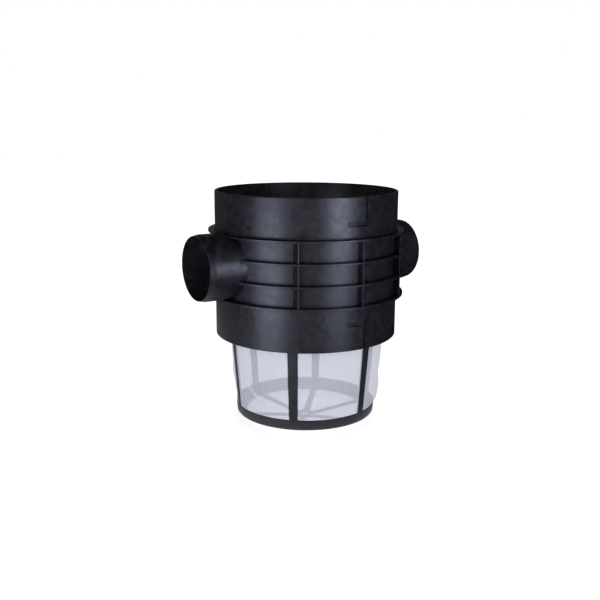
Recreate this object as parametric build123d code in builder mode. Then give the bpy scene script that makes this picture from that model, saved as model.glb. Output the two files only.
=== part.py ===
"""Rainwater tank filter: a moulded housing with two pipe spigots and a hanging mesh basket.

Millimetres, +Z up, +X along the two spigots. The origin is on the housing's axis, level with
the lowest point of the basket.
"""

import math
import os

from build123d import *

os.makedirs("parts", exist_ok=True)

# Driving sizes of the housing
housing_od = 313.0
housing_wall = 3.5
housing_height = 247.0
rim_chamfer = 0.9

# Driving sizes of the pipe spigots, made for DN 110 sockets
spigot_od = 110.0
spigot_wall = 3.6
spigot_reach = 210.5          # housing axis to spigot mouth
spigot_height = 128.6         # spigot axis above the skirt's lower edge
lead_in_length = 10.0
lead_in_depth = 2.0
seal_land_start = 170.0       # from here to the lead-in the spigot is a true cylinder
root_draft_end = 140.0        # the spigot thickens from the land to here, inside the wall
root_draft_rise = 1.0

# Driving sizes of the ribs that stiffen the outside of the housing
ring_rib_count = 4
ring_rib_pitch = 35.8
ring_rib_thickness = 3.2
rib_reach = 11.5              # how far every rib stands out from the wall
spigot_bite = 0.4             # how far the spigot's underside dips into the lowest ring rib
stiffener_offset = 100.0      # between neighbouring upright ribs
stiffener_thickness = 2.4
stiffener_setback = 0.2       # upright ribs' tips behind the ring ribs' tips
rib_root_height = 3.2         # the wall is thicker above the top ring rib, up to this height
rib_root_reach = 0.8

# Driving sizes of the L-shaped locking grooves at both rims, front and back
groove_width = 7.5
groove_depth = 2.0
groove_length = 46.5          # from the rim to the far side of the level leg
groove_edge = 15.2            # far side of the upright leg, from the middle plane
groove_fade = -22.0           # where the level leg runs out to nothing
groove_pad = 1.3              # wall pad moulded behind each groove
groove_pad_margin = 2.0

# Driving sizes of the seat that carries the basket
ledge_width = 12.0
ledge_thickness = 3.5
basket_clearance = 2.2        # between the basket's wall and the ledge
flange_clearance = 1.7        # between the basket's flange and the housing's pads

# Driving sizes of the basket frame
basket_reach = 142.9          # lower ring's edge below the skirt's lower edge
basket_taper = 4.75           # degrees, of the basket's wall
basket_wall = 3.0
flange_thickness = 3.0
lip_height = 3.0
lip_width = 2.5
collar_height = 15.0
band_height = 17.0
band_chamfer = 2.0
strut_count = 6
strut_angle = -12.1           # one strut's place round the axis, in degrees from +X
strut_width_low = 13.2
strut_width_high = 18.6
strut_edge_chamfer = 0.7
floor_slope = 8.0             # degrees, the floor dips to its hub
floor_thickness = 2.2
floor_flange_width = 16.8
spoke_width = 10.0
hub_radius = 18.0
hub_hole_radius = 6.5

# Driving sizes of the two finger grips moulded on the basket's flange
grip_width = 92.0
grip_height = 34.0
grip_bar = 9.0
grip_corner = 14.0

# Driving sizes of the filter cloth, moulded in against the frame's inner faces
cloth_thickness = 1.0
cloth_gap = 0.3

# Levels and radii worked out from the driving sizes
housing_radius = housing_od / 2
bore_radius = housing_radius - housing_wall
rib_radius = housing_radius + rib_reach
spigot_radius = spigot_od / 2
taper_rate = math.tan(math.radians(basket_taper))
slope_rate = math.tan(math.radians(floor_slope))

lowest_rib_top = spigot_height - spigot_radius + spigot_bite
ledge_level = lowest_rib_top - ring_rib_thickness
ledge_radius = bore_radius - ledge_width
basket_seat_radius = ledge_radius - basket_clearance
basket_depth = basket_reach + ledge_level
basket_foot_radius = basket_seat_radius - basket_depth * taper_rate
flange_radius = bore_radius - groove_pad - flange_clearance

foot_z = (basket_foot_radius - hub_radius) * slope_rate
skirt_z = foot_z + basket_reach
rim_z = skirt_z + housing_height
spigot_z = skirt_z + spigot_height
ledge_z = skirt_z + ledge_level
flange_top_z = ledge_z + flange_thickness
rib_top_levels = [skirt_z + lowest_rib_top + n * ring_rib_pitch for n in range(ring_rib_count)]


def wall_radius(z):
    """Outer radius of the basket's tapering wall at a height."""
    return basket_foot_radius + (z - foot_z) * taper_rate


def floor_level(r):
    """Underside of the basket's dished floor at a radius outside the hub."""
    return foot_z - (basket_foot_radius - r) * slope_rate


def upper_groove_outline(margin=0.0):
    """Corner points of a groove at the top rim, grown by a margin, in the XZ plane."""
    right = groove_edge + margin
    left = groove_edge - groove_width - margin
    low = rim_z - groove_length - margin
    high = low + groove_width + 2 * margin
    far = groove_fade - margin
    return [(right, low), (right, rim_z), (left, rim_z), (left, high), (far, high), (far, low)]


# Ring ribs
with BuildPart() as ring_ribs:
    for level in rib_top_levels:
        with BuildSketch(Plane.XY.offset(level - ring_rib_thickness)):
            Circle(rib_radius)
            Circle(housing_radius - housing_wall / 2, mode=Mode.SUBTRACT)
        extrude(amount=ring_rib_thickness)
    with BuildSketch(Plane.XZ):
        with BuildLine():
            Polyline(
                (housing_radius - housing_wall / 2, rib_top_levels[-1]),
                (housing_radius + rib_root_reach, rib_top_levels[-1]),
                (housing_radius, rib_top_levels[-1] + rib_root_height),
                (housing_radius - housing_wall / 2, rib_top_levels[-1] + rib_root_height),
                close=True,
            )
        make_face()
    revolve(axis=Axis.Z)

# Upright ribs, square to the spigots as the mould opens
with BuildPart() as stiffeners:
    with BuildSketch(Plane.XY.offset(rib_top_levels[0] - ring_rib_thickness)):
        for x in (-stiffener_offset, 0, stiffener_offset):
            outer_corner = abs(x) + stiffener_thickness / 2
            tip = math.sqrt(rib_radius**2 - outer_corner**2) - stiffener_setback
            with Locations((x, 0)):
                Rectangle(stiffener_thickness, 2 * tip)
        Circle(housing_radius - housing_wall / 2, mode=Mode.SUBTRACT)
    extrude(amount=rib_top_levels[-1] - rib_top_levels[0] + ring_rib_thickness)

# Outline of the four locking grooves, as bars through the housing
with BuildPart() as groove_bars:
    with BuildSketch(Plane.XZ):
        with BuildLine():
            Polyline(*upper_groove_outline(), close=True)
        make_face()
    extrude(amount=rib_radius, both=True)
    mirror(about=Plane.XY.offset((skirt_z + rim_z) / 2))

# The same outline grown by the pads' margin
with BuildPart() as pad_bars:
    with BuildSketch(Plane.XZ):
        with BuildLine():
            Polyline(*upper_groove_outline(groove_pad_margin), close=True)
        make_face()
    extrude(amount=rib_radius, both=True)
    mirror(about=Plane.XY.offset((skirt_z + rim_z) / 2))

# The grooves' depth is full at the upright leg and fades along the level leg, because their
# floor is a slightly smaller circle than the wall's, moved sideways
groove_shift = groove_depth * housing_radius / (groove_edge - groove_fade)
groove_floor_radius = housing_radius + groove_shift * groove_fade / housing_radius

with BuildPart() as grooves:
    with BuildSketch(Plane.XY.offset(skirt_z)):
        Circle(housing_radius + groove_depth)
        with Locations((-groove_shift, 0)):
            Circle(groove_floor_radius, mode=Mode.SUBTRACT)
    extrude(amount=housing_height)
    add(groove_bars.part, mode=Mode.INTERSECT)

# Pads behind the grooves, on the inside of the wall
with BuildPart() as groove_pads:
    with BuildSketch(Plane.XY.offset(skirt_z + rim_chamfer)):
        Circle(bore_radius + housing_wall / 2)
        Circle(bore_radius - groove_pad, mode=Mode.SUBTRACT)
    extrude(amount=housing_height - 2 * rim_chamfer)
    add(pad_bars.part, mode=Mode.INTERSECT)

# Housing: wall, spigots, ribs, ledge and grooves in one moulding
with BuildPart() as housing:
    with BuildSketch(Plane.XY.offset(skirt_z)):
        Circle(housing_radius)
    extrude(amount=housing_height)
    chamfer(housing.edges().filter_by(GeomType.CIRCLE), rim_chamfer)
    with BuildSketch(Plane.XZ):
        with BuildLine():
            Polyline(
                (-spigot_reach, spigot_z),
                (-spigot_reach, spigot_z + spigot_radius - lead_in_depth),
                (lead_in_length - spigot_reach, spigot_z + spigot_radius),
                (-seal_land_start, spigot_z + spigot_radius),
                (-root_draft_end, spigot_z + spigot_radius + root_draft_rise),
                (root_draft_end, spigot_z + spigot_radius + root_draft_rise),
                (seal_land_start, spigot_z + spigot_radius),
                (spigot_reach - lead_in_length, spigot_z + spigot_radius),
                (spigot_reach, spigot_z + spigot_radius - lead_in_depth),
                (spigot_reach, spigot_z),
                close=True,
            )
        make_face()
    revolve(axis=Axis((0, 0, spigot_z), (1, 0, 0)))
    add(ring_ribs.part)
    add(stiffeners.part)
    with BuildSketch(Plane.XZ):
        with BuildLine():
            Polyline(
                (0, skirt_z),
                (bore_radius + rim_chamfer, skirt_z),
                (bore_radius, skirt_z + rim_chamfer),
                (bore_radius, rim_z - rim_chamfer),
                (bore_radius + rim_chamfer, rim_z),
                (0, rim_z),
                close=True,
            )
        make_face()
    revolve(axis=Axis.Z, mode=Mode.SUBTRACT)
    with BuildSketch(Plane.YZ):
        with Locations((0, spigot_z)):
            Circle(spigot_radius - spigot_wall)
    extrude(amount=spigot_reach, both=True, mode=Mode.SUBTRACT)
    with BuildSketch(Plane.XY.offset(ledge_z - ledge_thickness)):
        Circle(bore_radius + housing_wall / 2)
        Circle(ledge_radius, mode=Mode.SUBTRACT)
    extrude(amount=ledge_thickness)
    add(groove_pads.part)
    add(grooves.part, mode=Mode.SUBTRACT)

# Windows that leave the struts standing when they are laid over the basket's wall
with BuildPart() as strut_bars:
    for n in range(strut_count // 2):
        with BuildSketch(Plane.YZ.rotated((0, 0, strut_angle + n * 360 / strut_count))):
            with BuildLine():
                Polyline(
                    (-strut_width_low / 2, foot_z),
                    (strut_width_low / 2, foot_z),
                    (strut_width_high / 2, ledge_z),
                    (-strut_width_high / 2, ledge_z),
                    close=True,
                )
            make_face()
        extrude(amount=housing_radius, both=True)

strut_low_z = foot_z + band_height / 2
strut_high_z = ledge_z - collar_height / 2
with BuildPart() as struts:
    with BuildSketch(Plane.XZ):
        with BuildLine():
            Polyline(
                (wall_radius(strut_low_z), strut_low_z),
                (wall_radius(strut_high_z), strut_high_z),
                (wall_radius(strut_high_z) - basket_wall, strut_high_z),
                (wall_radius(strut_low_z) - basket_wall, strut_low_z),
                close=True,
            )
        make_face()
    revolve(axis=Axis.Z)
    add(strut_bars.part, mode=Mode.INTERSECT)
    long_edges = struts.edges().filter_by(lambda e: e.length > 0.9 * (strut_high_z - strut_low_z))
    mid_radius = wall_radius((strut_low_z + strut_high_z) / 2)
    outer_edges = long_edges.filter_by(
        lambda e: math.hypot(e.center().X, e.center().Y) > mid_radius - basket_wall / 2
    )
    chamfer(outer_edges, strut_edge_chamfer)

# Spokes and hub: a dished plate, cut to a star
hub_top_z = floor_thickness
spoke_end_radius = basket_foot_radius - floor_flange_width / 2
with BuildPart() as floor_star:
    with BuildSketch(Plane.XZ):
        with BuildLine():
            Polyline(
                (0, 0),
                (hub_radius, 0),
                (spoke_end_radius, floor_level(spoke_end_radius)),
                (spoke_end_radius, floor_level(spoke_end_radius) + floor_thickness),
                (hub_radius, hub_top_z),
                (0, hub_top_z),
                close=True,
            )
        make_face()
    revolve(axis=Axis.Z)
    with BuildSketch(Plane.XY):
        Circle(hub_radius)
        with PolarLocations(0, strut_count // 2, start_angle=strut_angle, angular_range=180):
            Rectangle(2 * basket_foot_radius, spoke_width)
        Circle(hub_hole_radius, mode=Mode.SUBTRACT)
    extrude(amount=foot_z + floor_thickness, mode=Mode.INTERSECT)

# Finger grips: two bows that stand on the flange, clear of the water's way
grip_radius = wall_radius(ledge_z)
grip_angle = strut_angle + 1.5 * 360 / strut_count
with BuildPart() as grips:
    with BuildSketch(Plane.XY.offset(flange_top_z - flange_thickness / 2)):
        Circle(grip_radius)
        Circle(grip_radius - basket_wall, mode=Mode.SUBTRACT)
    extrude(amount=grip_height + flange_thickness / 2)
    with BuildSketch(Plane.YZ.rotated((0, 0, grip_angle))):
        with Locations((0, flange_top_z)):
            RectangleRounded(grip_width, 2 * grip_height, grip_corner)
            RectangleRounded(
                grip_width - 2 * grip_bar,
                2 * (grip_height - grip_bar),
                grip_corner - grip_bar / 2,
                mode=Mode.SUBTRACT,
            )
    extrude(amount=housing_radius, both=True, mode=Mode.INTERSECT)

# Basket frame: flange, collar, struts, lower band, floor star and grips in one moulding
collar_low_z = ledge_z - collar_height
band_top_z = foot_z + band_height
floor_edge_radius = basket_foot_radius - floor_flange_width
floor_corner_rise = (floor_thickness - basket_wall * slope_rate) / (1 - taper_rate * slope_rate)
floor_corner_z = foot_z + floor_corner_rise
floor_corner_radius = wall_radius(floor_corner_z) - basket_wall
with BuildPart() as basket_frame:
    with BuildSketch(Plane.XZ):
        with BuildLine():
            Polyline(
                (wall_radius(collar_low_z), collar_low_z),
                (wall_radius(ledge_z), ledge_z),
                (flange_radius, ledge_z),
                (flange_radius, flange_top_z + lip_height),
                (flange_radius - lip_width, flange_top_z + lip_height),
                (flange_radius - lip_width, flange_top_z),
                (wall_radius(ledge_z) - basket_wall, flange_top_z),
                (wall_radius(collar_low_z) - basket_wall, collar_low_z),
                close=True,
            )
        make_face()
        with BuildLine():
            Polyline(
                (basket_foot_radius, foot_z),
                (wall_radius(band_top_z), band_top_z),
                (wall_radius(band_top_z) - basket_wall, band_top_z),
                (floor_corner_radius, floor_corner_z),
                (floor_edge_radius, floor_level(floor_edge_radius) + floor_thickness),
                (floor_edge_radius, floor_level(floor_edge_radius)),
                close=True,
            )
        make_face()
    revolve(axis=Axis.Z)
    foot_edges = basket_frame.edges().filter_by(GeomType.CIRCLE)
    foot_edges = foot_edges.filter_by(lambda e: abs(e.radius - basket_foot_radius) < 0.01)
    chamfer(foot_edges.filter_by(lambda e: abs(e.center().Z - foot_z) < 0.01), band_chamfer)
    add(struts.part)
    add(floor_star.part)
    add(grips.part)

# Side cloth: one wrap round the inside of the struts, from the floor to the flange
cloth_low_z = floor_corner_z + cloth_gap
cloth_inset = basket_wall + cloth_gap
with BuildPart() as side_cloth:
    with BuildSketch(Plane.XZ):
        with BuildLine():
            Polyline(
                (wall_radius(cloth_low_z) - cloth_inset, cloth_low_z),
                (wall_radius(ledge_z) - cloth_inset, ledge_z),
                (wall_radius(ledge_z) - cloth_inset - cloth_thickness, ledge_z),
                (wall_radius(cloth_low_z) - cloth_inset - cloth_thickness, cloth_low_z),
                close=True,
            )
        make_face()
    revolve(axis=Axis.Z)

# Floor cloth: a dished disc on the spokes and the floor flange
floor_cloth_radius = wall_radius(cloth_low_z) - cloth_inset - cloth_thickness - cloth_gap
floor_cloth_rise = floor_thickness + cloth_gap
with BuildPart() as floor_cloth:
    with BuildSketch(Plane.XZ):
        with BuildLine():
            Polyline(
                (0, floor_cloth_rise),
                (hub_radius, floor_cloth_rise),
                (floor_cloth_radius, floor_level(floor_cloth_radius) + floor_cloth_rise),
                (floor_cloth_radius, floor_level(floor_cloth_radius) + floor_cloth_rise + cloth_thickness),
                (hub_radius, floor_cloth_rise + cloth_thickness),
                (0, floor_cloth_rise + cloth_thickness),
                close=True,
            )
        make_face()
    revolve(axis=Axis.Z)

pieces = {
    "housing": housing,
    "basket_frame": basket_frame,
    "side_cloth": side_cloth,
    "floor_cloth": floor_cloth,
}
for name, piece in pieces.items():
    piece.part.label = name
    export_step(piece.part, f"parts/{name}.step")
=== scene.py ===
"""Looks of a rainwater tank filter: moulded housing, basket frame and see-through filter cloth.

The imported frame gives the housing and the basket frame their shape. This script gives them their
finish, models the two pieces of filter cloth, and sets the floor, the lamps and the camera.
Sizes are written in millimetres and turned to metres with MM.
"""

import logging
import math
from dataclasses import dataclass, field
from enum import Enum
from typing import Any

import bmesh
import bpy
from mathutils import Matrix, Vector, noise


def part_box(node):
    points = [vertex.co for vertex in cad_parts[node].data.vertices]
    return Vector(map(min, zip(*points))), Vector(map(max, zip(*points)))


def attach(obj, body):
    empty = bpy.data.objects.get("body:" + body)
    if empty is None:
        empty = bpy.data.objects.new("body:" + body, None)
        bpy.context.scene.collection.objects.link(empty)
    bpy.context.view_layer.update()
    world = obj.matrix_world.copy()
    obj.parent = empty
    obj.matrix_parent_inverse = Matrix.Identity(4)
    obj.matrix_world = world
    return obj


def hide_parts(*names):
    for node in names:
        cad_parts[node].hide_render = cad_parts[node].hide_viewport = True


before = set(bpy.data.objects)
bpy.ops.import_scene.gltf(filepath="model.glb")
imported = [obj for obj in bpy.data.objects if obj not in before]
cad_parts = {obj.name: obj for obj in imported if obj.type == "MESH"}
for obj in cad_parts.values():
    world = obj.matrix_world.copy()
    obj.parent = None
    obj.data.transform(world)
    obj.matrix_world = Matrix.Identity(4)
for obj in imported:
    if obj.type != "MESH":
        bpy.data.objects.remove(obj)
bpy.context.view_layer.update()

log = logging.getLogger("tank_filter")

MM = 0.001
BODY = "root"
STRUT_COUNT = 6
STRUT_ANGLE = -12.1  # degrees from +X, as in the basket frame
STRUT_HALF_WIDTHS = ((14.5, 6.6), (228.2, 9.3))  # (height, half width) at both ends
BAND_TOP = 31.5
COLLAR_FOOT = 213.2
CLOTH_INSET = 0.5  # from the cloth solid's outer face to its middle
WELD = 0.01  # corners nearer to each other than this become one
WAVE_PHASE = 20  # radians that a wave texture of scale 1 turns through in one unit


def linear(code: str) -> tuple[float, float, float, float]:
    """Turns an sRGB hex colour to linear values.

    Args:
        code: The colour as six hex digits after a hash sign.

    Returns:
        Linear red, green and blue, and an alpha of 1.
    """
    parts = [int(code[i : i + 2], 16) / 255 for i in (1, 3, 5)]
    red, green, blue = [p / 12.92 if p <= 0.04045 else ((p + 0.055) / 1.055) ** 2.4 for p in parts]
    return red, green, blue, 1.0


def smooth(low: float, high: float, value: float) -> float:
    """Rises smoothly from 0 at low to 1 at high.

    Args:
        low: Where the rise starts.
        high: Where the rise ends.
        value: The place to read.

    Returns:
        The height of the rise, from 0 to 1.
    """
    share = min(1.0, max(0.0, (value - low) / (high - low)))
    return share * share * (3 - 2 * share)


def add_node(
    tree: bpy.types.NodeTree, kind: str, inputs: dict[Any, Any], **settings: Any
) -> bpy.types.Node:
    """Adds a shader node with its settings, values and links.

    Args:
        tree: The node tree that gets the node.
        kind: Blender's name for the kind of node.
        inputs: For each input, by name or number, a value or the output socket that feeds it.
        settings: Properties of the node.

    Returns:
        The new node.
    """
    node = tree.nodes.new(kind)
    for key, value in settings.items():
        setattr(node, key, value)
    for key, value in inputs.items():
        if isinstance(value, bpy.types.NodeSocket):
            tree.links.new(value, node.inputs[key])
        else:
            node.inputs[key].default_value = value
    return node


def new_material(name: str) -> tuple[bpy.types.Material, bpy.types.NodeTree]:
    """Makes an empty node material.

    Args:
        name: The finish's name.

    Returns:
        The material and its node tree.
    """
    material = bpy.data.materials.new(name)
    material.use_nodes = True
    material.node_tree.nodes.clear()
    return material, material.node_tree


def new_piece(name: str, mesh_data: bmesh.types.BMesh) -> bpy.types.Object:
    """Turns a finished bmesh into an object at the origin and frees the bmesh.

    Args:
        name: The piece's name.
        mesh_data: Its mesh, with the place in its vertices.

    Returns:
        The linked object, shaded smooth.
    """
    mesh = bpy.data.meshes.new(name)
    mesh_data.to_mesh(mesh)
    mesh_data.free()
    mesh.shade_smooth()
    piece = bpy.data.objects.new(name, mesh)
    bpy.context.scene.collection.objects.link(piece)
    return piece


def rim_radius(node: str, level: float) -> float:
    """Reads how far a CAD node reaches from the axis at a level.

    Args:
        node: The CAD node's name.
        level: The height, in metres.

    Returns:
        The largest distance from the axis among the node's corners near that height.
    """
    near = 0.4 * MM
    corners = [v.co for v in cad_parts[node].data.vertices if abs(v.co.z - level) < near]
    return max(math.hypot(c.x, c.y) for c in corners)


def turn_profile(sheet: bmesh.types.BMesh, chain: list[bmesh.types.BMVert], steps: int) -> None:
    """Turns a chain of corners once round the upright axis into a sheet, and closes its seam.

    Args:
        sheet: The mesh that holds the corners.
        chain: The profile's corners, in order.
        steps: How many columns the sheet gets.
    """
    edges = [sheet.edges.new(pair) for pair in zip(chain, chain[1:])]
    bmesh.ops.spin(
        sheet,
        geom=chain + edges,
        cent=(0, 0, 0),
        axis=(0, 0, 1),
        angle=2 * math.pi,
        steps=steps,
        use_merge=True,
    )
    bmesh.ops.remove_doubles(sheet, verts=sheet.verts[:], dist=WELD * MM)
    bmesh.ops.recalc_face_normals(sheet, faces=sheet.faces[:])


@dataclass(frozen=True)
class MouldedPolypropylene:
    """Polypropylene coloured through with carbon black, as it leaves an injection mould.

    It is nearly black, with a satin skin that takes soft, wide highlights. Uneven cooling gives the
    skin cloudy patches and slow waves that bend the highlights, and each edge is slightly round.
    Painted shade darkens the colour and lowers the specular level in corners above ribs and in grooves.
    """

    name: str
    body: str = "#0E0F11"
    bloom: str = "#222328"
    gloss_low: float = 0.32
    gloss_high: float = 0.46
    patch_mm: float = 14.0
    patch_detail: float = 7.0
    patch_roughness: float = 0.66
    patch_warp: float = 0.3
    patch_range: tuple[float, float] = (0.34, 0.67)  # of the noise, from all body to all bloom
    wave_mm: float = 75.0
    wave_depth_mm: float = 0.9
    wave_roughness: float = 0.45
    grain_mm: float = 1.6  # the real grain is about 0.1 mm, drawn as coarse as it needs to show
    grain_depth_mm: float = 0.055
    soft_detail: float = 2.0  # of the noise for the waves and the grain
    edge_mm: float = 0.6
    painted_shade_reach_mm: float = 2.5  # how near another wall has to be for a corner to get painted shade
    painted_shade_tilt: float = 0.6  # looks for that wall rather below than above
    painted_shade_range: tuple[float, float] = (0.5, 0.95)  # of the openness, from the darkest painted shade to none
    painted_shade_colour_share: float = 0.15  # the share of its colour that the darkest painted shade keeps
    painted_shade_shine: float = 0.25  # the specular level under the darkest painted shade
    open_shine: float = 0.5  # and on open skin
    ior: float = 1.49

    def openness(self, tree: bpy.types.NodeTree) -> bpy.types.NodeSocket:
        """Adds how free of near walls each place of the skin is, as the mask of the painted corner
        shade.

        Args:
            tree: The node tree that needs it.

        Returns:
            A socket that is 1 on open skin and falls in corners, most of all just above a rib.
        """
        facing = add_node(tree, "ShaderNodeNewGeometry", {}).outputs["Normal"]
        tilted = add_node(
            tree, "ShaderNodeVectorMath", {0: facing, 1: (0.0, 0.0, -self.painted_shade_tilt)}, operation="ADD"
        )
        toward = add_node(tree, "ShaderNodeVectorMath", {0: tilted.outputs[0]}, operation="NORMALIZE")
        near = add_node(
            tree,
            "ShaderNodeAmbientOcclusion",
            {"Distance": self.painted_shade_reach_mm * MM, "Normal": toward.outputs[0]},
            samples=8,
        )
        return near.outputs["AO"]

    def material(self) -> bpy.types.Material:
        """Builds the node material.

        Returns:
            The material, for one moulding.
        """
        material, tree = new_material(self.name)
        place = add_node(tree, "ShaderNodeTexCoord", {}).outputs["Object"]
        cloud = add_node(
            tree,
            "ShaderNodeTexNoise",
            {
                "Vector": place,
                "Scale": 1 / (self.patch_mm * MM),
                "Detail": self.patch_detail,
                "Roughness": self.patch_roughness,
                "Distortion": self.patch_warp,
            },
        )
        all_body, all_bloom = self.patch_range
        patches = add_node(
            tree,
            "ShaderNodeMapRange",
            {"Value": cloud.outputs["Fac"], "From Min": all_body, "From Max": all_bloom},
        )
        colour = add_node(
            tree,
            "ShaderNodeMix",
            {0: patches.outputs["Result"], 6: linear(self.body), 7: linear(self.bloom)},
            data_type="RGBA",
        )
        gloss = add_node(
            tree,
            "ShaderNodeMapRange",
            {"Value": patches.outputs["Result"], "To Min": self.gloss_low, "To Max": self.gloss_high},
        )
        waves = add_node(
            tree,
            "ShaderNodeTexNoise",
            {
                "Vector": place,
                "Scale": 1 / (self.wave_mm * MM),
                "Detail": self.soft_detail,
                "Roughness": self.wave_roughness,
            },
        )
        grain = add_node(
            tree,
            "ShaderNodeTexNoise",
            {"Vector": place, "Scale": 1 / (self.grain_mm * MM), "Detail": self.soft_detail},
        )
        normal = add_node(
            tree, "ShaderNodeBevel", {"Radius": self.edge_mm * MM}, samples=6
        ).outputs["Normal"]
        for pattern, depth_mm in ((waves, self.wave_depth_mm), (grain, self.grain_depth_mm)):
            normal = add_node(
                tree,
                "ShaderNodeBump",
                {
                    "Height": pattern.outputs["Fac"],
                    "Distance": depth_mm * MM,
                    "Strength": 1.0,
                    "Normal": normal,
                },
            ).outputs["Normal"]
        # Painted shade: an ambient occlusion mask darkens the colour and lowers the specular level in
        # corners.
        openness = self.openness(tree)
        blackest, unchanged = self.painted_shade_range
        light = add_node(
            tree,
            "ShaderNodeMapRange",
            {
                "Value": openness,
                "From Min": blackest,
                "From Max": unchanged,
                "To Min": self.painted_shade_colour_share,
            },
        )
        shaded = add_node(
            tree,
            "ShaderNodeVectorMath",
            {0: colour.outputs[2], "Scale": light.outputs["Result"]},
            operation="SCALE",
        )
        shine = add_node(
            tree,
            "ShaderNodeMapRange",
            {
                "Value": openness,
                "From Min": blackest,
                "From Max": unchanged,
                "To Min": self.painted_shade_shine,
                "To Max": self.open_shine,
            },
        )
        surface = add_node(
            tree,
            "ShaderNodeBsdfPrincipled",
            {
                "Base Color": shaded.outputs[0],
                "Roughness": gloss.outputs["Result"],
                "IOR": self.ior,
                "Specular IOR Level": shine.outputs["Result"],
                "Normal": normal,
            },
        )
        add_node(tree, "ShaderNodeOutputMaterial", {"Surface": surface.outputs["BSDF"]})
        return material


@dataclass(frozen=True)
class WovenFilterCloth:
    """Fine white monofilament gauze, woven square and half see-through.

    It is a dull white that lets about two fifths of the view pass. A fold is three cloths thick, so
    it hides more. The UV map is in metres along the threads.
    """

    name: str = "woven_filter_gauze"
    thread: str = "#E2E3E8"
    gap: str = "#D0D2DB"
    cover: float = 0.58
    fold_cover: float = 0.93
    thread_mm: float = 1.4  # the real pitch is about 0.5 mm, drawn as coarse as it needs to show
    thread_depth_mm: float = 0.12
    thread_strength: float = 0.5
    roughness: float = 0.8
    shine: float = 0.25

    def material(self) -> bpy.types.Material:
        """Builds the node material.

        Returns:
            The material, for one cloth.
        """
        material, tree = new_material(self.name)
        place = add_node(tree, "ShaderNodeTexCoord", {}).outputs["UV"]
        one_thread = WAVE_PHASE * self.thread_mm * MM / (2 * math.pi)
        threads = [
            add_node(
                tree,
                "ShaderNodeTexWave",
                {"Vector": place, "Scale": 1 / one_thread, "Distortion": 0.0},
                bands_direction=direction,
            ).outputs["Fac"]
            for direction in ("X", "Y")
        ]
        weave = add_node(tree, "ShaderNodeMath", {0: threads[0], 1: threads[1]}, operation="MULTIPLY")
        colour = add_node(
            tree,
            "ShaderNodeMix",
            {0: weave.outputs[0], 6: linear(self.thread), 7: linear(self.gap)},
            data_type="RGBA",
        )
        bump = add_node(
            tree,
            "ShaderNodeBump",
            {
                "Height": weave.outputs[0],
                "Distance": self.thread_depth_mm * MM,
                "Strength": self.thread_strength,
            },
            invert=True,
        )
        fold = add_node(tree, "ShaderNodeAttribute", {}, attribute_name="fold")
        cover = add_node(
            tree,
            "ShaderNodeMapRange",
            {"Value": fold.outputs["Fac"], "To Min": self.cover, "To Max": self.fold_cover},
        )
        surface = add_node(
            tree,
            "ShaderNodeBsdfPrincipled",
            {
                "Base Color": colour.outputs[2],
                "Roughness": self.roughness,
                "Specular IOR Level": self.shine,
                "Alpha": cover.outputs["Result"],
                "Normal": bump.outputs["Normal"],
            },
        )
        add_node(tree, "ShaderNodeOutputMaterial", {"Surface": surface.outputs["BSDF"]})
        return material


class Moulding(Enum):
    """The two rigid mouldings, by their CAD nodes' names."""

    HOUSING = "housing"
    BASKET_FRAME = "basket_frame"


@dataclass
class RigidMoulding:
    """A moulding whose CAD shape stays and which only gets its finish."""

    kind: Moulding
    finish: MouldedPolypropylene

    def dress(self) -> bpy.types.Object:
        """Gives the CAD node its finish.

        Returns:
            The CAD node.
        """
        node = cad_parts[self.kind.value]
        material = self.finish.material()
        if not node.material_slots:
            node.data.materials.append(material)
        for place in node.material_slots:
            place.material = material
        return node


@dataclass
class FoldLine:
    """A crease in the side cloth that widens from its start to its end.

    Both are places on the cloth, in degrees from +X and millimetres up. The crease stands out by
    its height, in millimetres, and its cover is the share of a full fold's.
    """

    start: tuple[float, float]
    end: tuple[float, float]
    width: float
    height: float
    cover: float
    start_width: float = 0.7  # as a share of the width
    end_width: float = 1.3

    def reach(self, angle: float, level: float, radius: float) -> float:
        """Tells how strongly the crease shows at a place.

        Args:
            angle: The place round the axis, in degrees from +X.
            level: Its height, in millimetres.
            radius: The cloth's radius there, in millimetres.

        Returns:
            1 on the crease's line, falling to 0 a few widths away.
        """
        arc = math.radians(radius)
        start = Vector((0.0, self.start[1]))
        end = Vector(((self.end[0] - self.start[0]) * arc, self.end[1]))
        turn = (angle - self.start[0] + 180) % 360 - 180
        point = Vector((turn * arc, level))
        run = end - start
        share = (point - start).dot(run) / run.length_squared
        share = min(1.0, max(0.0, share))
        width = self.width * (self.start_width + (self.end_width - self.start_width) * share)
        return math.exp(-(((point - start - run * share).length / width) ** 2))


@dataclass(frozen=True)
class Ripple:
    """A small unevenness of the stretched side cloth, as noise round the axis and up it."""

    depth_mm: float
    cells_round: float  # in each radian
    cell_height_mm: float

    def depth(self, angle: float, level: float) -> float:
        """Tells how far the cloth stands out at a place.

        Args:
            angle: The place round the axis, in degrees from +X.
            level: Its height, in millimetres.

        Returns:
            The distance in millimetres, which may be negative.
        """
        turned = math.radians(angle)
        spot = Vector((math.cos(turned), math.sin(turned), 0)) * self.cells_round
        spot.z = level / self.cell_height_mm
        return self.depth_mm * noise.noise(spot)


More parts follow.
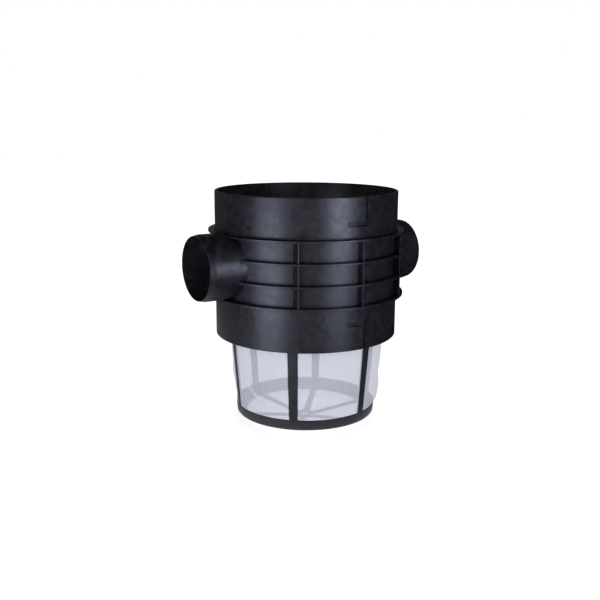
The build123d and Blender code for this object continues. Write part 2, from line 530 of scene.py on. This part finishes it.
@dataclass
class SideCloth:
    """The wrap of gauze inside the struts.

    It is held in the band, the struts and the collar. Beyond their edges it comes out flush with
    their outer face, and from there it bellies further where it is slack.
    """

    finish: WovenFilterCloth
    bellies_mm: tuple[tuple[float, ...], ...]  # for each panel, at each of the belly levels
    folds: tuple[FoldLine, ...]
    ripples: tuple[Ripple, ...] = (Ripple(0.6, 5.0, 26.0), Ripple(0.35, 26.0, 34.0))
    belly_levels: tuple[float, ...] = (43.0, 65.0, 87.0, 110.0, 132.0)
    belly_rise: float = 14.0  # above the band, till the belly has its full depth
    belly_fall: float = 40.0  # below the collar, the same
    belly_power: float = 0.75  # under 1, so the belly is fuller beside the struts than an arc
    columns: int = 720
    edge_column: float = 3.5  # degrees from a strut's middle to the column that runs along its edge
    edge_levels: tuple[float, ...] = (-2.0, 0.1, 0.5, 0.9, 1.4, 2.4, 4.0, 6.0)
    row_height: float = 3.0
    flush_mm: float = 3.6  # how far the cloth steps out beyond an edge
    lap_start_mm: float = -0.1  # from the edge to where that step starts
    lap_mm: float = 1.2  # and to where it ends
    node: str = "side_cloth"
    low: Vector = field(init=False)
    high: Vector = field(init=False)
    radius_low: float = field(init=False)
    radius_high: float = field(init=False)

    def __post_init__(self) -> None:
        """Reads the cloth's place from its CAD solid, in metres."""
        self.low, self.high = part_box(self.node)
        self.radius_low = rim_radius(self.node, self.low.z) - CLOTH_INSET * MM
        self.radius_high = rim_radius(self.node, self.high.z) - CLOTH_INSET * MM

    def levels(self) -> list[float]:
        """Works out the heights of the sheet's rows, close together at the band and the collar.

        Returns:
            The heights in millimetres, from the lowest up.
        """
        low, high = self.low.z / MM, self.high.z / MM
        near_band = [BAND_TOP + step for step in self.edge_levels]
        near_collar = [COLLAR_FOOT - step for step in reversed(self.edge_levels)]
        count = round((near_collar[0] - near_band[-1]) / self.row_height)
        step = (near_collar[0] - near_band[-1]) / count
        between = [near_band[-1] + step * i for i in range(1, count)]
        return [low, *near_band, *between, *near_collar, high]

    def strut_edge(self, level: float, radius: float) -> float:
        """Gives the angle from a strut's middle to its edge.

        Args:
            level: The height, in millimetres.
            radius: The cloth's radius there, in millimetres.

        Returns:
            The angle in degrees.
        """
        (foot, narrow), (head, wide) = STRUT_HALF_WIDTHS
        half_width = narrow + (wide - narrow) * (level - foot) / (head - foot)
        return math.degrees(math.asin(half_width / radius))

    def column_angle(self, angle: float, edge: float) -> float:
        """Shifts a column round the axis so that one column runs along each edge of a strut.

        Args:
            angle: The column's even place, in degrees from +X.
            edge: The angle from a strut's middle to its edge, in degrees.

        Returns:
            The shifted place, in degrees from +X.
        """
        pitch = 360 / STRUT_COUNT
        middle = STRUT_ANGLE + round((angle - STRUT_ANGLE) / pitch) * pitch
        away = abs(angle - middle)
        if away <= self.edge_column:
            away *= edge / self.edge_column
        else:
            stretch = (pitch / 2 - edge) / (pitch / 2 - self.edge_column)
            away = edge + (away - self.edge_column) * stretch
        return middle + math.copysign(away, angle - middle)

    def belly(self, angle: float, level: float, radius: float) -> float:
        """Gives how far the cloth stands out between two struts.

        Args:
            angle: The place round the axis, in degrees from +X.
            level: Its height, in millimetres.
            radius: The cloth's radius there, in millimetres.

        Returns:
            The distance in millimetres, 0 at the struts, the band and the collar.
        """
        pitch = 360 / STRUT_COUNT
        edge = self.strut_edge(level, radius)
        panel, inside = divmod((angle - STRUT_ANGLE) % 360, pitch)
        free = (inside - edge) / (pitch - 2 * edge)
        beside = min(inside - edge, pitch - edge - inside) * math.radians(radius)
        gap = min(beside, level - BAND_TOP, COLLAR_FOOT - level)
        if gap <= 0:
            return 0.0
        slack = self.slack(int(panel), angle, level) - self.flush_mm
        upright = smooth(0, self.belly_rise, level - BAND_TOP)
        upright *= smooth(0, self.belly_fall, COLLAR_FOOT - level)
        across = math.sin(math.pi * free) ** self.belly_power
        step = smooth(self.lap_start_mm, self.lap_mm, gap)
        return step * (self.flush_mm + slack * across * upright)

    def slack(self, panel: int, angle: float, level: float) -> float:
        """Gives how far a panel's middle would stand out at a level, with a small ripple.

        Args:
            panel: The panel's number.
            angle: The place round the axis, in degrees from +X.
            level: Its height, in millimetres.

        Returns:
            The distance in millimetres.
        """
        out = self.bellies_mm[panel][0]
        steps = list(zip(self.belly_levels, self.bellies_mm[panel]))
        for (below, here), (above, there) in zip(steps, steps[1:]):
            out += (there - here) * smooth(below, above, level)
        return out + sum(ripple.depth(angle, level) for ripple in self.ripples)

    def build(self) -> bpy.types.Object:
        """Models the cloth as one sheet, from a spun profile whose corners are then moved out.

        Returns:
            The sheet.
        """
        sheet = bmesh.new()
        start = math.radians(STRUT_ANGLE)
        chain = []
        for level in self.levels():
            share = (level * MM - self.low.z) / (self.high.z - self.low.z)
            radius = self.radius_low + share * (self.radius_high - self.radius_low)
            corner = (radius * math.cos(start), radius * math.sin(start), level * MM)
            chain.append(sheet.verts.new(corner))
        turn_profile(sheet, chain, self.columns)
        fold_layer = sheet.verts.layers.float.new("fold")
        for vert in sheet.verts:
            level = vert.co.z / MM
            radius = math.hypot(vert.co.x, vert.co.y) / MM
            even = math.degrees(math.atan2(vert.co.y, vert.co.x))
            angle = self.column_angle(even, self.strut_edge(level, radius))
            out = radius + self.belly(angle, level, radius)
            for fold in self.folds:
                shown = fold.reach(angle, level, radius)
                out += shown * fold.height
                vert[fold_layer] = max(vert[fold_layer], shown * fold.cover)
            turned = math.radians(angle)
            vert.co.xy = Vector((math.cos(turned), math.sin(turned))) * out * MM
        self.map_threads(sheet)
        return new_piece("side_gauze", sheet)

    def map_threads(self, sheet: bmesh.types.BMesh) -> None:
        """Lays a UV map on the cloth, in metres round and up it.

        Args:
            sheet: The cloth's mesh.
        """
        layer = sheet.loops.layers.uv.new("threads")
        middle = (self.radius_low + self.radius_high) / 2
        for face in sheet.faces:
            centre = face.calc_center_median()
            home = math.atan2(centre.y, centre.x)
            for loop in face.loops:
                turn = math.atan2(loop.vert.co.y, loop.vert.co.x) - home
                turn = (turn + math.pi) % (2 * math.pi) - math.pi
                loop[layer].uv = ((home + turn) * middle, loop.vert.co.z)

    def dress(self) -> bpy.types.Object:
        """Builds the cloth, gives it its finish and puts it in the CAD solid's place.

        Returns:
            The cloth.
        """
        cloth = self.build()
        cloth.data.materials.append(self.finish.material())
        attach(cloth, BODY)
        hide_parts(self.node)
        return cloth


@dataclass
class FloorCloth:
    """The dished disc of gauze on the spokes, which sags a little between them."""

    finish: WovenFilterCloth
    rings: int = 40
    steps_round: int = 240
    sag_mm: float = 1.1
    sag_grows: tuple[float, float] = (0.1, 0.45)  # shares of the way from the hub to the rim
    sag_fades: tuple[float, float] = (0.7, 0.86)
    ripple_mm: float = 0.35
    ripple_length_mm: float = 28.0
    node: str = "floor_cloth"

    def build(self) -> bpy.types.Object:
        """Models the disc from a spun profile, then lets it sag between the spokes.

        Returns:
            The disc.
        """
        low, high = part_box(self.node)
        radius = rim_radius(self.node, high.z)
        hub_radius = rim_radius(self.node, low.z)
        disc = bmesh.new()
        chain = [disc.verts.new((radius * i / self.rings, 0, 0)) for i in range(self.rings + 1)]
        turn_profile(disc, chain, self.steps_round)
        layer = disc.loops.layers.uv.new("threads")
        for face in disc.faces:
            for loop in face.loops:
                loop[layer].uv = loop.vert.co.xy
        middle = low.z + CLOTH_INSET * MM
        rise = high.z - low.z - 2 * CLOTH_INSET * MM
        for vert in disc.verts:
            out = math.hypot(vert.co.x, vert.co.y)
            slope = max(0.0, (out - hub_radius) / (radius - hub_radius))
            angle = math.degrees(math.atan2(vert.co.y, vert.co.x)) - STRUT_ANGLE
            between = math.sin(math.radians(angle * STRUT_COUNT / 2)) ** 2
            free = smooth(*self.sag_grows, slope) * (1 - smooth(*self.sag_fades, slope))
            spot = Vector((vert.co.x, vert.co.y, 0)) / (self.ripple_length_mm * MM)
            ripple = self.ripple_mm * noise.noise(spot)
            vert.co.z = middle + rise * slope - (self.sag_mm + ripple) * between * free * MM
        return new_piece("floor_gauze", disc)

    def dress(self) -> bpy.types.Object:
        """Builds the cloth, gives it its finish and puts it in the CAD solid's place.

        Returns:
            The cloth.
        """
        cloth = self.build()
        cloth.data.materials.append(self.finish.material())
        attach(cloth, BODY)
        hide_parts(self.node)
        return cloth


@dataclass(frozen=True)
class PhotoCamera:
    """The photo's camera, fitted to the object's edges.

    Angles are in degrees, lengths in millimetres.
    """

    azimuth: float = -32.94
    distance: float = 1452.5
    height: float = 528.7
    pitch: float = 12.342
    yaw: float = 0.390
    roll: float = 0.255
    lens: float = 50.816
    sensor: float = 36.0

    def build(self) -> bpy.types.Object:
        """Makes the camera and sets it as the scene's.

        Returns:
            The camera.
        """
        data = bpy.data.cameras.new("photo_camera")
        data.lens = self.lens
        data.sensor_width = self.sensor
        camera = bpy.data.objects.new("photo_camera", data)
        bpy.context.scene.collection.objects.link(camera)
        turned = math.radians(self.azimuth)
        spot = Vector((math.sin(turned), -math.cos(turned), 0)) * self.distance
        spot.z = self.height
        look = (
            Matrix.Rotation(turned + math.radians(self.yaw), 4, "Z")
            @ Matrix.Rotation(math.radians(90 - self.pitch), 4, "X")
            @ Matrix.Rotation(math.radians(self.roll), 4, "Z")
        )
        camera.matrix_world = Matrix.Translation(spot * MM) @ look
        bpy.context.scene.camera = camera
        return camera


@dataclass(frozen=True)
class SoftBox:
    """An upright soft lamp that faces the object's axis.

    Azimuth is in degrees from -Y towards +X, and lengths are in millimetres. The lamp lights the
    object with its watts, and the gloss of the plastic shows it brighter by its gloss watts.
    """

    name: str
    azimuth: float
    width: float
    height: float
    centre: float
    watts: float
    gloss_watts: float
    distance: float = 640.0
    gloss_step: float = 8.0  # the gloss lamp stands this far behind, clear of the other
    colour: str = "#DADEFF"

    def lamp(self, name: str, watts: float, distance: float) -> bpy.types.Object:
        """Makes one lamp of the softbox's size.

        Args:
            name: The lamp's name.
            watts: Its power.
            distance: Its distance from the axis, in millimetres.

        Returns:
            The lamp.
        """
        data = bpy.data.lights.new(name, "AREA")
        data.shape = "RECTANGLE"
        data.size = self.width * MM
        data.size_y = self.height * MM
        data.energy = watts
        data.color = linear(self.colour)[:3]
        lamp = bpy.data.objects.new(name, data)
        bpy.context.scene.collection.objects.link(lamp)
        turned = math.radians(self.azimuth)
        spot = Vector((math.sin(turned) * distance, -math.cos(turned) * distance, self.centre))
        facing = Matrix.Rotation(turned, 4, "Z") @ Matrix.Rotation(math.radians(90), 4, "X")
        lamp.matrix_world = Matrix.Translation(spot * MM) @ facing
        return lamp

    def build(self) -> None:
        """Makes the lamp and its brighter look in gloss."""
        self.lamp(self.name, self.watts, self.distance)
        if self.gloss_watts:
            behind = self.distance + self.gloss_step
            shine = self.lamp(f"{self.name}_gloss", self.gloss_watts, behind)
            shine.visible_diffuse = False


@dataclass(frozen=True)
class GlossCard:
    """A card turned about the set's axis, which only the gloss of the plastic shows.

    Azimuths are in degrees from -Y towards +X. The two ends of its edge are (radius, height) in
    millimetres. The shade is the brightness that the gloss finds there.
    """

    name: str
    start: float
    end: float
    edge: tuple[tuple[float, float], tuple[float, float]]
    shade: str
    steps: int = 36

    def build(self) -> bpy.types.Object:
        """Makes the card from one edge turned about the axis, seen by glossy rays alone.

        Returns:
            The card.
        """
        card = bmesh.new()
        turned = math.radians(self.start)
        out = Vector((math.sin(turned), -math.cos(turned), 0))
        up = Vector((0, 0, 1))
        pair = [card.verts.new((out * radius + up * height) * MM) for radius, height in self.edge]
        edge = card.edges.new(pair)
        bmesh.ops.spin(
            card,
            geom=pair + [edge],
            cent=(0, 0, 0),
            axis=(0, 0, 1),
            angle=math.radians(self.end - self.start),
            steps=self.steps,
        )
        piece = new_piece(self.name, card)
        material, tree = new_material(f"{self.name}_paper")
        glow = add_node(tree, "ShaderNodeEmission", {"Color": linear(self.shade), "Strength": 1.0})
        add_node(tree, "ShaderNodeOutputMaterial", {"Surface": glow.outputs[0]})
        piece.data.materials.append(material)
        piece.visible_camera = False
        piece.visible_diffuse = False
        piece.visible_transmission = False
        piece.visible_volume_scatter = False
        piece.visible_shadow = False
        return piece


@dataclass(frozen=True)
class Studio:
    """Pale floor, soft lamps, white surroundings and grey cards. Lengths are in millimetres."""

    camera: PhotoCamera
    floor_radius: float = 9000.0
    floor_colour: str = "#E9E9EA"
    floor_lift: float = 0.6
    painted_light_under_basket: float = 0.95  # painted light on the floor just under the basket, which lightens the shadow seen through the gauze
    painted_light_radius: float = 120.0
    painted_light_edge: float = 30.0  # over which the one lift passes into the other
    ambient: float = 0.72
    front_gap: float = 19.0  # degrees from the camera's direction to where the side cards start
    side_end: float = 165.0  # and to where they end
    set_radius: float = 900.0
    wall_foot: float = 4.0
    back_foot: float = 420.0
    wall_top: float = 1000.0
    board_level: float = 3.0
    board_inner: float = 150.0
    board_middle: float = 330.0  # where the near boards end

    def path_share(self, tree: bpy.types.NodeTree) -> bpy.types.NodeSocket:
        """Adds the share of rays that see the background: those of the camera, gloss and glass.

        Args:
            tree: The node tree that needs it.

        Returns:
            A socket that is 1 for such rays and 0 for others.
        """
        path = add_node(tree, "ShaderNodeLightPath", {}).outputs
        share = path["Is Camera Ray"]
        for kind in ("Is Glossy Ray", "Is Transmission Ray"):
            both = add_node(tree, "ShaderNodeMath", {0: share, 1: path[kind]}, operation="MAXIMUM")
            share = both.outputs[0]
        return share

    def surroundings(self) -> None:
        """Makes a white world that lights the set less than it shows."""
        world = bpy.data.worlds.new("white_studio")
        world.use_nodes = True
        tree = world.node_tree
        tree.nodes.clear()
        white = (1.0, 1.0, 1.0, 1.0)
        lit = add_node(tree, "ShaderNodeBackground", {"Color": white, "Strength": self.ambient})
        shown = add_node(tree, "ShaderNodeBackground", {"Color": white, "Strength": 1.0})
        mixed = add_node(
            tree,
            "ShaderNodeMixShader",
            {0: self.path_share(tree), 1: lit.outputs[0], 2: shown.outputs[0]},
        )
        add_node(tree, "ShaderNodeOutputWorld", {"Surface": mixed.outputs[0]})
        bpy.context.scene.world = world

    def floor(self) -> bpy.types.Object:
        """Makes the pale floor just under the object; it keeps the object's shadow, but painted light
        lightens it under the basket.

        Returns:
            The floor.
        """
        disc = bmesh.new()
        bmesh.ops.create_circle(disc, cap_ends=True, segments=96, radius=self.floor_radius * MM)
        floor = new_piece("floor", disc)
        material, tree = new_material("matt_white_board")
        body = add_node(tree, "ShaderNodeBsdfDiffuse", {"Color": linear(self.floor_colour)})
        place = add_node(tree, "ShaderNodeTexCoord", {}).outputs["Object"]
        distance = add_node(tree, "ShaderNodeVectorMath", {0: place}, operation="LENGTH")
        # Painted light: the floor glows brighter in a disc under the basket, which lightens the shadow
        # there.
        under = add_node(
            tree,
            "ShaderNodeMapRange",
            {
                "Value": distance.outputs["Value"],
                "From Min": self.painted_light_radius * MM,
                "From Max": (self.painted_light_radius - self.painted_light_edge) * MM,
                "To Min": self.floor_lift,
                "To Max": self.painted_light_under_basket,
            },
        )
        lift = add_node(
            tree,
            "ShaderNodeMath",
            {0: self.path_share(tree), 1: under.outputs["Result"]},
            operation="MULTIPLY",
        )
        glow = add_node(tree, "ShaderNodeEmission", {"Strength": lift.outputs[0]})
        both = add_node(tree, "ShaderNodeAddShader", {0: body.outputs[0], 1: glow.outputs[0]})
        add_node(tree, "ShaderNodeOutputMaterial", {"Surface": both.outputs[0]})
        floor.data.materials.append(material)
        return floor

    def cards(self) -> None:
        """Sets up the cards on the floor, round the set and overhead."""
        middle = self.camera.azimuth
        left = (middle - self.side_end, middle - self.front_gap)
        front = (middle - self.front_gap, middle + self.front_gap)
        right = (middle + self.front_gap, middle + self.side_end)
        back = (middle + self.side_end, middle + 360 - self.side_end)
        top = (self.set_radius, self.wall_top)
        wall = ((self.set_radius, self.wall_foot), top)
        inner = (self.board_inner, self.board_level)
        between = (self.board_middle, self.board_level)
        outer = (self.set_radius, self.board_level)
        cards = (
            GlossCard("card_left", *left, wall, "#505052"),
            GlossCard("card_front", *front, wall, "#A0A0A4"),
            GlossCard("card_right", *right, wall, "#303033"),
            GlossCard("board_left", *left, (between, outer), "#A0A0A4"),
            GlossCard("board_front", *front, (between, outer), "#909094"),
            GlossCard("board_right", *right, (inner, outer), "#0C0C0D"),
            GlossCard("board_left_near", *left, (inner, between), "#A0A0A4"),
            GlossCard("board_front_near", *front, (inner, between), "#404042"),
            GlossCard("card_back", *back, ((self.set_radius, self.back_foot), top), "#A0A0A4"),
            GlossCard("card_overhead", 0, 360, ((0, self.wall_top), top), "#040404"),
        )
        for card in cards:
            card.build()

    def lamps(self) -> None:
        """Sets up the soft lamps beside the camera."""
        middle = self.camera.azimuth
        softboxes = (
            SoftBox("softbox_left", middle - 38.5, 310, 370, 195, watts=0.93, gloss_watts=1.08),
            SoftBox("softbox_right", middle + 37, 250, 270, 335, watts=0.66, gloss_watts=1.12),
            SoftBox("softbox_right_low", middle + 36, 240, 180, 105, watts=0.38, gloss_watts=0.0),
        )
        for softbox in softboxes:
            softbox.build()

    def build(self) -> None:
        """Sets up the whole studio."""
        self.surroundings()
        self.floor()
        self.cards()
        self.lamps()
        self.camera.build()
        bpy.context.scene.view_settings.view_transform = "Standard"


def report(piece: bpy.types.Object) -> None:
    """Logs a piece's name and how many faces it has."""
    log.info("%s: %d faces", piece.name, len(piece.data.polygons))


def main() -> None:
    """Builds the pieces, the studio and the camera."""
    logging.basicConfig(level=logging.INFO, format="%(name)s: %(message)s")
    report(RigidMoulding(Moulding.HOUSING, MouldedPolypropylene("satin_black_polypropylene")).dress())
    frame_finish = MouldedPolypropylene(
        "basket_black_polypropylene",
        body="#222226",
        bloom="#2C2C31",
        gloss_low=0.42,
        gloss_high=0.55,
        patch_mm=17.0,
        wave_mm=60.0,
    )
    report(RigidMoulding(Moulding.BASKET_FRAME, frame_finish).dress())
    gauze = WovenFilterCloth()
    bellies = (
        (4.6, 5.2, 5.6, 5.0, 4.6),
        (4.8, 5.4, 5.0, 5.4, 4.8),
        (1.6, 3.6, 6.0, 3.7, 2.3),
        (4.4, 4.8, 5.2, 4.8, 4.4),
        (4.2, 5.0, 4.8, 4.6, 4.4),
        (8.7, 8.9, 6.8, 7.0, 6.6),
    )
    folds = (
        FoldLine((-174.6, 85.5), (-160.6, 62.0), width=2.3, height=1.6, cover=0.9),
        FoldLine((-177.2, 66.0), (-175.2, 46.0), width=1.5, height=0.8, cover=0.5),
        FoldLine((-172.8, 60.0), (-171.2, 45.0), width=1.3, height=0.7, cover=0.55),
        FoldLine((-168.5, 47.0), (-158.0, 40.0), width=1.6, height=0.6, cover=0.4),
    )
    report(SideCloth(gauze, bellies, folds).dress())
    report(FloorCloth(gauze).dress())
    Studio(PhotoCamera()).build()


if __name__ == "__main__":
    main()
